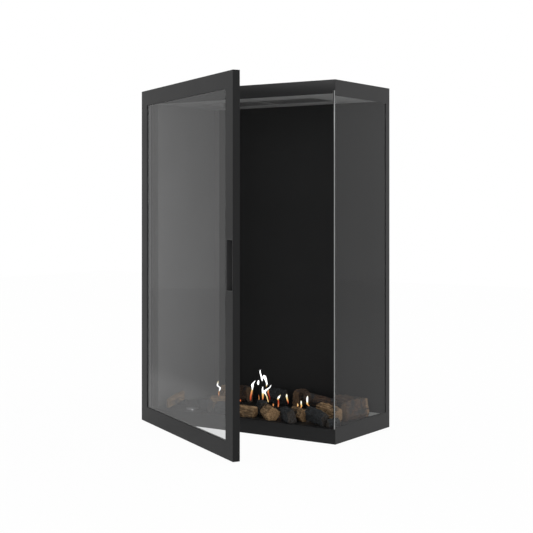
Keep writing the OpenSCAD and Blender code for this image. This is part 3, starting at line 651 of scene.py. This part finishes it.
def log_relief(rng, look, length, s, a):
    """The marks on the skin, as a share of the radius that they add or take, and how deep the cracks are."""
    grain = wave_sum(rng, 3 * s, a, 1.0, 3, 34)
    flakes = np.round(wave_sum(rng, 5 * s, a, 1.6, 6, 5))
    lumps = wave_sum(rng, 4 * s, a, 1.0, 5, 5)
    split = np.clip(1 - np.abs(np.sin(a + rng.uniform(0, 6) + 0.6 * np.sin(5 * s))) * 16, 0, 1)
    if look == CHARRED:
        crack = cracks(rng, s, a, max(4, length / 9), 9)
        relief = 0.030 * lumps + 0.02 * grain + 0.028 * flakes - 0.09 * crack - 0.13 * split
    else:
        crack = np.clip(grain - 0.8, 0, 1)
        relief = 0.022 * lumps + 0.035 * grain + 0.024 * flakes - 0.15 * split
    return relief, crack + 0.6 * split


print("skin recipe ready,", SPLIT_FACES, "split faces")

# %% [markdown]
# ## A whole log
#
# The skin is carried along the log, pressed flat underneath where the log lies. The ends are broken off, so
# the rings run in to a point there over a slight bulge, and one log has lost the bark at its far end. What
# the finish needs is stored on the points: the place before the log is turned, so that the grain follows
# the log, and how cracked and how bare the skin is.

# %% Log meshes
END_SLANT = 4            # mm
END_OUT = 1.5            # mm
END_RINGS = [0.97, 0.85, 0.7, 0.52, 0.34, 0.16]
LOG_RINGS, LOG_SIDES = 96, 96
FIRST_SEED = 500
BARE_LOG = 8             # the one whose far end has lost its bark


def log_end(rng, ring, middle, out, a):
    """A broken end: the outer ring shrunk in steps towards its middle, bulging out by END_OUT."""
    shares = np.array(END_RINGS)[:, None, None]
    cap = middle + (ring - middle) * shares
    flat = shares[:, :, 0]
    bulge = (1 - flat) * END_OUT + 0.5 * wave_sum(rng, flat * 9, a, 1.0, 3, 9)
    cap[:, :, 0] += out * (bulge * (flat < 0.95) + 0.4)
    return cap


def make_log(number, log):
    """One log: s runs along it and a round it. A point lies at the log's middle line plus its radius in the
    direction a, with the slant of the ends added along it. What would lie below the bed is pressed flat, one
    end is lifted where the log leans, and both ends are closed by broken caps."""
    share_x, share_y, turn, rise, length, width, height, phase_degrees, look = log
    phase = math.radians(phase_degrees)
    rng = np.random.default_rng(FIRST_SEED + number)
    s = np.linspace(0, 1, LOG_RINGS)[:, None]
    a = (np.arange(LOG_SIDES) / LOG_SIDES * 2 * np.pi)[None, :]
    relief, wear = log_relief(rng, look, length, s, a)
    radius = log_radius(s, a, phase) * (1 + relief)
    half_w, half_h = width / 2, height / 2
    ragged = 1.1 * wave_sum(rng, 0 * s, a, 1.0, 0, 20) * np.abs(2 * s - 1) ** 8
    x = (s - 0.5) * length + END_SLANT * np.sin(a + phase) + ragged
    y = half_w * (radius * np.cos(a) + 0.10 * np.sin(np.radians(200) * s + phase))
    below = 1.2 * (1 + 0.6 * relief)
    lift = rise * s if rise > 0 else -rise * (1 - s)
    z = lift + np.maximum(0, half_h * (1 + np.where(np.sin(a) > 0, radius, below) * np.sin(a)))
    rings = np.stack([x, y, z], axis=-1)
    first, last = rings[0].mean(axis=0), rings[-1].mean(axis=0)
    first[2], last[2] = half_h + lift[0, 0], half_h + lift[-1, 0]
    near, far = log_end(rng, rings[0], first, -1, a)[::-1], log_end(rng, rings[-1], last, 1, a)
    first[0] -= END_OUT
    last[0] += END_OUT
    data = closed_tube(f"ceramic_log_{number:02d}", np.concatenate([near, rings, far]), first, last)
    local = points_of(data)
    cap = len(END_RINGS) * LOG_SIDES
    put_attribute(data, "log_place", local * MILLIMETRE + rng.uniform(0, 9, 3))
    put_attribute(data, "crack", np.concatenate([np.full(cap, 0.3), wear.ravel(), np.full(cap + 2, 0.3)]))
    bare = np.clip((s - 0.87 + 0.02 * np.sin(5 * a)) / 0.04, 0, 1) * (number == BARE_LOG)
    put_attribute(data, "fresh", np.concatenate([np.full(cap, 0.5), bare.ravel(), np.full(cap + 2, 0.5)]))
    c, n = math.cos(math.radians(turn)), math.sin(math.radians(turn))
    turned = local @ np.array([[c, n, 0], [-n, c, 0], [0, 0, 1]])
    place_points(data, turned * MILLIMETRE + [CHAMBER_LEFT + share_x * BED_WIDTH,
                                              BED_FRONT + share_y * BED_DEPTH, BED_TOP])
    return data


print("mesh recipe ready,", LOG_RINGS, "rings of", LOG_SIDES, "points")

# %% [markdown]
# ## How the logs are painted
#
# The maker paints the castings by hand: pale ones in tan with darker grain and a few scorched blotches,
# charred ones in blue-black with ash-grey high spots, brown ones like old bark. The grain is noise stretched
# along the log, read from the stored place. Cracks and splits go dark, and the broken ends and the bare one
# show fresh wood.

# %% Log finishes
GRAIN_STRETCH = (9.0, 90.0, 90.0)
FRESH_WOOD = [(0.3, (0.22, 0.12, 0.055)), (0.6, (0.52, 0.33, 0.17))]
ASH_GREY = (0.16, 0.185, 0.21)
SOOT = (0.010, 0.009, 0.009)
BARK_DEPTH = 0.0014


def stored(material, name):
    """A number stored on the mesh."""
    return add(material, "Attribute", attribute_name=name).outputs["Fac"]


def log_finish(name, wood, dark, scorch, scorch_at, ash_and_painted_light=0.0, fresh_share=1.0):
    """Wood of two tones with dark grain; scorched where the blotches rise above scorch_at; ash says how grey
    its high spots are, and fresh_share how much fresh wood shows where bark is missing."""
    material, output = new_material(name)
    place = add(material, "Attribute", attribute_name="log_place").outputs["Vector"]
    stretched = add(material, "Mapping", {"Vector": place}, Scale=GRAIN_STRETCH)
    grain = noise(material, stretched.outputs["Vector"], 5.0, 6.0, 0.65)
    blotch = noise(material, place, 38.0, 4.0, 0.6)
    speck = noise(material, place, 420.0, 3.0, 0.6)
    base = ramp(material, grain, [(0.40, dark), (0.52, wood[0]), (0.68, wood[1])])
    burnt = ramp(material, speck, [(0.35, scorch), (0.75, times(scorch, 2.2))])
    burn = spread(material, blotch, 0.0, 1.0, scorch_at, scorch_at + 0.10)
    colour = mix_colours(material, burn, base, burnt)
    if ash_and_painted_light:
        colour = mix_colours(material, spread(material, speck, 0.0, ash_and_painted_light, 0.52, 0.70), colour, ASH_GREY)
    bare = spread(material, stored(material, "fresh"), 0.0, fresh_share)
    colour = mix_colours(material, bare, colour, ramp(material, grain, FRESH_WOOD))
    deep = spread(material, stored(material, "crack"), 0.0, 0.85, 0.2, 0.9)
    colour = mix_colours(material, deep, colour, SOOT)
    bump = bumps(material, reckon(material, "ADD", grain, speck), 0.8, BARK_DEPTH)
    return opaque(material, output, colour, spread(material, speck, 0.72, 0.95), bump, 0.25)


LOG_FINISH = {
    PALE: (log_finish("log_pale_wood", [(0.26, 0.165, 0.085), (0.47, 0.325, 0.185)], (0.050, 0.032, 0.019),
                      (0.020, 0.017, 0.015), 0.58), "log_pale"),
    CHARRED: (log_finish("log_charred_wood", [(0.017, 0.018, 0.0185), (0.035, 0.038, 0.040)],
                         (0.008, 0.008, 0.008), (0.011, 0.012, 0.012), 0.52, 0.5, 0.1), "log_charred"),
    BROWN: (log_finish("log_brown_wood", [(0.068, 0.039, 0.024), (0.125, 0.076, 0.047)],
                       (0.026, 0.016, 0.012), (0.016, 0.016, 0.016), 0.50, 0.35, 0.4), "log_brown"),
}
for number, log in enumerate(LOGS, 1):
    data = make_log(number, log)
    finish, slot = LOG_FINISH[log[-1]]
    data.materials.append(finish)
    piece = put_in_scene(f"ceramic_log_{number:02d}", data)
    ride_and_replace(piece, f"log_{number:02d}")
print("logs:", len(LOGS), "of", len(data.polygons), "faces each")

# %% [markdown]
# ## The flames
#
# Ethanol burns with soft yellow tongues that rise from the slot between the two rows of logs. A flame has no
# surface, but a thin closed shape that gives light reads as one. Each is a flat ellipse carried up through a
# few knots, given as sideways place, height, width and heat, so that it leans, swells and tapers as a real
# tongue does, and goes from deep red through orange to white where it is hottest. Below its first knot
# ethanol burns clear and nothing can be seen. That clear foot starts just above the shutter, which has to
# slide under it. A light-giving volume would be softer, but it is slow, noisy, and can't be kept as a mesh.

# %% Flame recipe
WOOL_LOW, WOOL_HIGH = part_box("wool_pad")
BURNER_Y = (WOOL_LOW.y + WOOL_HIGH.y) / 2
FOOT_Z = max(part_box("flame_shutter")[1].z, BED_TOP) + 0.0005
CORE_SHARE = 0.84        # of a flame's width with its soft rim
THINNEST = 0.2           # mm
FLAME_DEPTH = 0.5        # how deep a flame is, as a share of its width
SWAY, SWAYS = 1.5, 0.06  # mm to the front and back, and radians of it for each mm up
FLAME_STEPS, FLAME_SIDES = 96, 20
SMOOTHING = np.hanning(11)[1:-1] / np.hanning(11).sum()        # rounds off the bends at the knots


def flame_material():
    """Light whose colour and power follow the heat, over a clear shader where the flame is thin."""
    material, output = new_material("flame_glow")
    heat, body = stored(material, "flame_heat"), stored(material, "flame_body")
    colour = ramp(material, heat, [(0.0, (0.30, 0.012, 0.006)), (0.16, (0.52, 0.075, 0.028)),
                                   (0.34, (0.76, 0.25, 0.09)), (0.5, (0.96, 0.52, 0.17)),
                                   (0.64, (1.0, 0.82, 0.38)), (0.8, (1.0, 0.97, 0.82)),
                                   (0.9, (1.0, 1.0, 1.0))])
    power = spread(material, heat, 1.0, 1.8, 0.7, 1.0)
    glow = add(material, "Emission", {"Color": colour, "Strength": power})
    rim = add(material, "LayerWeight", Blend=0.35).outputs["Facing"]
    share = reckon(material, "MULTIPLY", spread(material, rim, 1.0, 0.1, 0.55, 1.0), body)
    return finish_material(material, output,
                           mix_shaders(material, share, add(material, "BsdfTransparent"), glow))


def flame(name, thickness, knots):
    """A flat ellipse carried up from the shutter's top through knots of (x, z, width, heat), in mm but for
    the heat, which runs from 0, deep red, to 1, white. Between knots every value runs smoothly, cooler parts
    hide less of what is behind them, and the part below the first knot stays clear."""
    knots = [(knots[0][0], FOOT_Z / MILLIMETRE, 1.0, knots[0][3])] + list(knots)
    place = np.array(knots, float)
    steps = np.linspace(0, len(knots) - 1, FLAME_STEPS)
    x, z, width, heat = (np.interp(steps, np.arange(len(knots)), column) for column in place.T)
    x, width, heat = (np.convolve(np.pad(values, len(SMOOTHING) // 2, mode="edge"), SMOOTHING, "valid")
                      for values in (x, width, heat))
    half = np.maximum(CORE_SHARE * width, THINNEST) / 2
    around = np.arange(FLAME_SIDES) / FLAME_SIDES * 2 * np.pi
    ring_x = x[:, None] + half[:, None] * np.cos(around)
    ring_y = half[:, None] * FLAME_DEPTH * np.sin(around) + SWAY * np.sin(SWAYS * z)[:, None]
    rings = np.stack([ring_x, ring_y, z[:, None] + 0 * around], axis=-1)
    ends = rings[0].mean(axis=0) - [0, 0, 0.2], rings[-1].mean(axis=0) + [0, 0, 0.6]
    data = closed_tube(name, rings, *ends)
    share = (z - place[1, 1]) / (place[-1, 1] - place[1, 1])
    body = thickness * np.clip(share * 12, 0, 1) * (0.6 + 0.4 * np.clip(heat / 0.5, 0, 1))
    for label, values in (("flame_heat", heat), ("flame_body", body)):
        put_attribute(data, label, np.concatenate([np.repeat(values, FLAME_SIDES), values[[0, -1]]]))
    place_points(data, points_of(data) * MILLIMETRE + [0, BURNER_Y, 0])
    data.materials.append(flame_glow)
    piece = put_in_scene(name, data)
    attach(piece, "cabinet")
    return piece


flame_glow = flame_material()
print("flame recipe ready, burner at Y", round(BURNER_Y, 4))

# %% [markdown]
# ## Where each flame stands
#
# The photograph freezes one moment: a tall group left of the middle that has torn into several tongues, a
# row of small ones at the right and one far left. Each tongue was followed upwards, with a knot wherever it
# turns, swells or changes colour.

# %% Flame shapes
# Name, share of what lies behind that the flame hides, and the knots: sideways place, height and width in
# mm, and heat
FLAMES = [
    ("flame_left", 1.00, ((-53, 64, 4.8, 0.10), (-53, 72, 6.4, 0.16), (-52, 80, 6.8, 0.24),
        (-50, 86, 6.8, 0.34), (-49, 92, 6.4, 0.42), (-48, 96, 4.9, 0.50), (-47, 99, 4.8, 0.80),
        (-47, 104, 5.7, 1.00), (-47, 108, 8.4, 1.00), (-48, 112, 10.3, 1.00), (-46, 116, 8.0, 1.00),
        (-44, 119, 5.7, 1.00), (-41, 122, 4.6, 1.00), (-38, 125, 2.4, 1.00))),
    ("flame_drop", 1.00, ((-27, 114, 2.0, 1.00), (-27, 117, 6.7, 1.00), (-27, 121, 8.3, 1.00),
        (-26, 125, 6.3, 1.00), (-26, 128, 1.6, 1.00))),
    ("flame_tip", 1.00, ((-12, 126, 1.6, 1.00), (-13, 131, 5.9, 1.00), (-14, 136, 7.1, 1.00),
        (-15, 141, 6.7, 1.00), (-17, 146, 5.7, 1.00), (-19, 151, 4.9, 1.00), (-19, 156, 4.4, 1.00),
        (-18, 160, 1.6, 1.00))),
    ("flame_arch", 1.00, ((3, 111, 2.0, 0.35), (4, 116, 3.9, 0.78), (5, 120, 5.9, 0.95),
        (3, 125, 6.7, 1.00), (2, 129, 7.5, 1.00), (-2, 135, 12.6, 1.00), (-4, 139, 15.0, 1.00),
        (-4, 143, 10.3, 1.00), (-6, 145, 3.2, 1.00))),
    ("flame_body_left", 1.00, ((-9, 71, 3.2, 0.28), (-8, 75, 4.9, 0.34), (-8, 80, 6.3, 0.42),
        (-8, 85, 7.1, 0.50), (-8, 90, 7.7, 0.66), (-8, 94, 7.9, 0.90), (-9, 98, 6.7, 1.00),
        (-10, 102, 5.5, 1.00), (-10, 106, 4.3, 1.00), (-9, 110, 1.6, 1.00))),
    ("flame_body_right", 1.00, ((12, 65, 2.0, 0.52), (11, 68, 4.6, 0.58), (10, 72, 3.8, 0.54),
        (8, 77, 4.3, 0.56), (7, 82, 4.7, 0.64), (4, 86, 5.0, 0.70), (1, 90, 5.7, 0.84), (-2, 94, 8.3, 1.00),
        (-1, 98, 10.3, 1.00), (3, 101, 9.9, 1.00), (8, 105, 8.3, 1.00), (13, 108, 5.9, 1.00),
        (17, 112, 4.3, 1.00), (20, 117, 1.7, 1.00))),
    ("flame_body_red", 1.00, ((16, 71, 1.2, 0.00), (17, 77, 3.8, 0.00), (16, 82, 4.7, 0.04),
        (14, 86, 5.2, 0.08), (12, 91, 5.5, 0.16), (10, 96, 6.7, 0.34), (11, 100, 3.8, 0.42),
        (12, 103, 1.2, 0.42))),
    ("flame_ember", 1.00, ((29, 55, 2.3, 0.28), (29, 59, 5.4, 0.42), (29, 63, 1.9, 0.34))),
    ("flame_right_a", 1.00, ((46, 54, 2.6, 0.34), (47, 58, 4.5, 0.32), (48, 64, 5.1, 0.22),
        (48, 69, 5.1, 0.16), (48, 74, 4.7, 0.10), (46, 78, 5.8, 0.55), (48, 82, 8.0, 0.85),
        (50, 85, 7.8, 0.92), (53, 89, 4.1, 0.80), (55, 92, 1.7, 0.60))),
    ("flame_right_b", 1.00, ((83, 68, 1.7, 0.06), (82, 73, 4.6, 0.20), (81, 76, 6.1, 0.34),
        (79, 81, 5.8, 0.54), (78, 84, 6.3, 0.62), (77, 88, 6.7, 0.72), (77, 92, 6.1, 0.82),
        (77, 96, 2.2, 0.70))),
    ("flame_bead", 1.00, ((115, 62, 1.7, 0.30), (116, 66, 6.1, 0.55), (116, 69, 4.6, 0.55),
        (115, 72, 1.7, 0.45))),
    ("flame_right_c", 1.00, ((123, 54, 2.8, 0.16), (125, 58, 4.1, 0.28), (128, 63, 4.8, 0.42),
        (129, 67, 5.5, 0.52), (128, 70, 5.0, 0.62), (128, 74, 4.8, 0.82), (128, 78, 4.4, 0.86),
        (128, 81, 1.7, 0.70))),
    ("flame_right_d", 1.00, ((159, 62, 2.0, 0.34), (157, 66, 4.2, 0.38), (154, 69, 4.2, 0.42),
        (150, 72, 6.1, 0.42), (149, 75, 6.8, 0.50), (149, 79, 6.1, 0.74), (149, 83, 6.1, 0.90),
        (149, 88, 6.1, 0.95), (149, 93, 5.5, 0.90), (150, 97, 2.0, 0.70))),
    ("flame_glow_low", 1.00, ((-91, 58, 2.0, 0.14), (-91, 61, 5.0, 0.28), (-91, 65, 1.8, 0.16))),
    ("flame_far", 1.00, ((-171, 67, 2.2, 0.20), (-172, 72, 3.7, 0.40), (-172, 77, 3.7, 0.42),
        (-171, 81, 3.2, 0.34), (-170, 85, 4.0, 0.90), (-168, 88, 5.8, 1.00), (-167, 93, 7.1, 1.00),
        (-169, 95, 10.0, 1.00), (-174, 97, 10.8, 1.00), (-178, 100, 6.3, 1.00), (-178, 103, 5.9, 0.92),
        (-177, 108, 5.7, 0.76), (-176, 113, 2.3, 0.68))),
    # A faint glowing streak in flame colours, a painted highlight: it stands for light on the log behind the
    # flames.
    ("faint_glow_painted_highlight", 0.35, ((-22, 69, 2.4, 0.42), (-22, 73, 3.6, 0.42), (-22, 78, 3.5, 0.38),
        (-23, 82, 2.9, 0.34), (-23, 85, 1.0, 0.30))),
]
for name, thickness, knots in FLAMES:
    flame(name, thickness, knots)
print("flames:", len(FLAMES))

# %% [markdown]
# ## Floor and sky
#
# The studio is a pale floor under an even white sky, so that a colour renders about as it is written. The
# picture's background is pure white, which here comes from what the camera, mirrors and glass see of the
# world and floor and not from more light: for those rays the world is white at a strength of 1, and the
# floor is mostly a plain white with a little of its own shading, which keeps the object's soft shadow. In
# mirrors the floor is less white, or the glossy paint just above it would come out too pale.

# %% Floor and world
FLOOR_SIZE = 12.0
FLOOR_DROP = 0.0005      # keeps the floor clear of the cabinet's underside
MIRRORED_WHITE = 0.68    # how white the floor is in mirrors, where its own shading shows more
PLAIN_WHITE = 0.965


def floor_material():
    """Matt pale grey, and nearly plain white to the camera and through glass."""
    material, output = new_material("studio_floor")
    path = add(material, "LightPath")
    mirrored = reckon(material, "MULTIPLY", path.outputs["Is Glossy Ray"], MIRRORED_WHITE)
    seen = reckon(material, "MAXIMUM", path.outputs["Is Camera Ray"], path.outputs["Is Transmission Ray"])
    share = reckon(material, "MULTIPLY", reckon(material, "MAXIMUM", seen, mirrored), PLAIN_WHITE)
    matt = add(material, "BsdfDiffuse", Color=(0.86, 0.86, 0.86, 1))
    white = add(material, "Emission", Strength=1.0)
    return finish_material(material, output, mix_shaders(material, share, matt, white))


floor_data = bpy.data.meshes.new("studio_floor")
corner = FLOOR_SIZE / 2
floor_data.from_pydata([(-corner, -corner, 0), (corner, -corner, 0), (corner, corner, 0),
                        (-corner, corner, 0)], [], [(0, 1, 2, 3)])
floor_data.materials.append(floor_material())
floor = put_in_scene("studio_floor", floor_data)
floor.location.z = -FLOOR_DROP

world = bpy.data.worlds.new("studio_world")
bpy.context.scene.world = world
world.use_nodes = True
path = add(world, "LightPath")
seen = reckon(world, "MAXIMUM", path.outputs["Is Camera Ray"], path.outputs["Is Glossy Ray"])
seen = reckon(world, "MAXIMUM", seen, path.outputs["Is Transmission Ray"])
background = world.node_tree.nodes["Background"]
background.inputs["Color"].default_value = (1, 1, 1, 1)
feed(world, background.inputs["Strength"], spread(world, seen, 0.9, 1.0))
print("floor:", FLOOR_SIZE, "m wide")

# %% [markdown]
# ## Lamps
#
# The white sky does most of the lighting. A large soft box at the right gives the upright faces their
# modelling. A small narrow one in front, turned to the upper front band, gives that band the sheen that sets
# it off from the lower one. It is weak, and little else shows it.

# %% Lamps
def soft_lamp(name, place, target, size, power):
    """A square soft box at place that looks at target."""
    lamp_data = bpy.data.lights.new(name, "AREA")
    lamp_data.size = size
    lamp_data.energy = power
    lamp = put_in_scene(name, lamp_data)
    lamp.location = place
    lamp.rotation_euler = (Vector(target) - Vector(place)).to_track_quat("-Z", "Y").to_euler()
    return lamp


soft_lamp("soft_box_right", (2.6, 0.4, 2.2), (0.2, 0.0, 0.7), 1.2, 12)
front_lamp = soft_lamp("soft_box_front", (-1.42, -2.53, 1.24), (0.55, -0.156, 1.27), 0.4, 0.45)
front_lamp.data.spread = math.radians(20)
bpy.context.scene.view_settings.view_transform = "Standard"
print("lamps:", [light.name for light in bpy.data.lights])
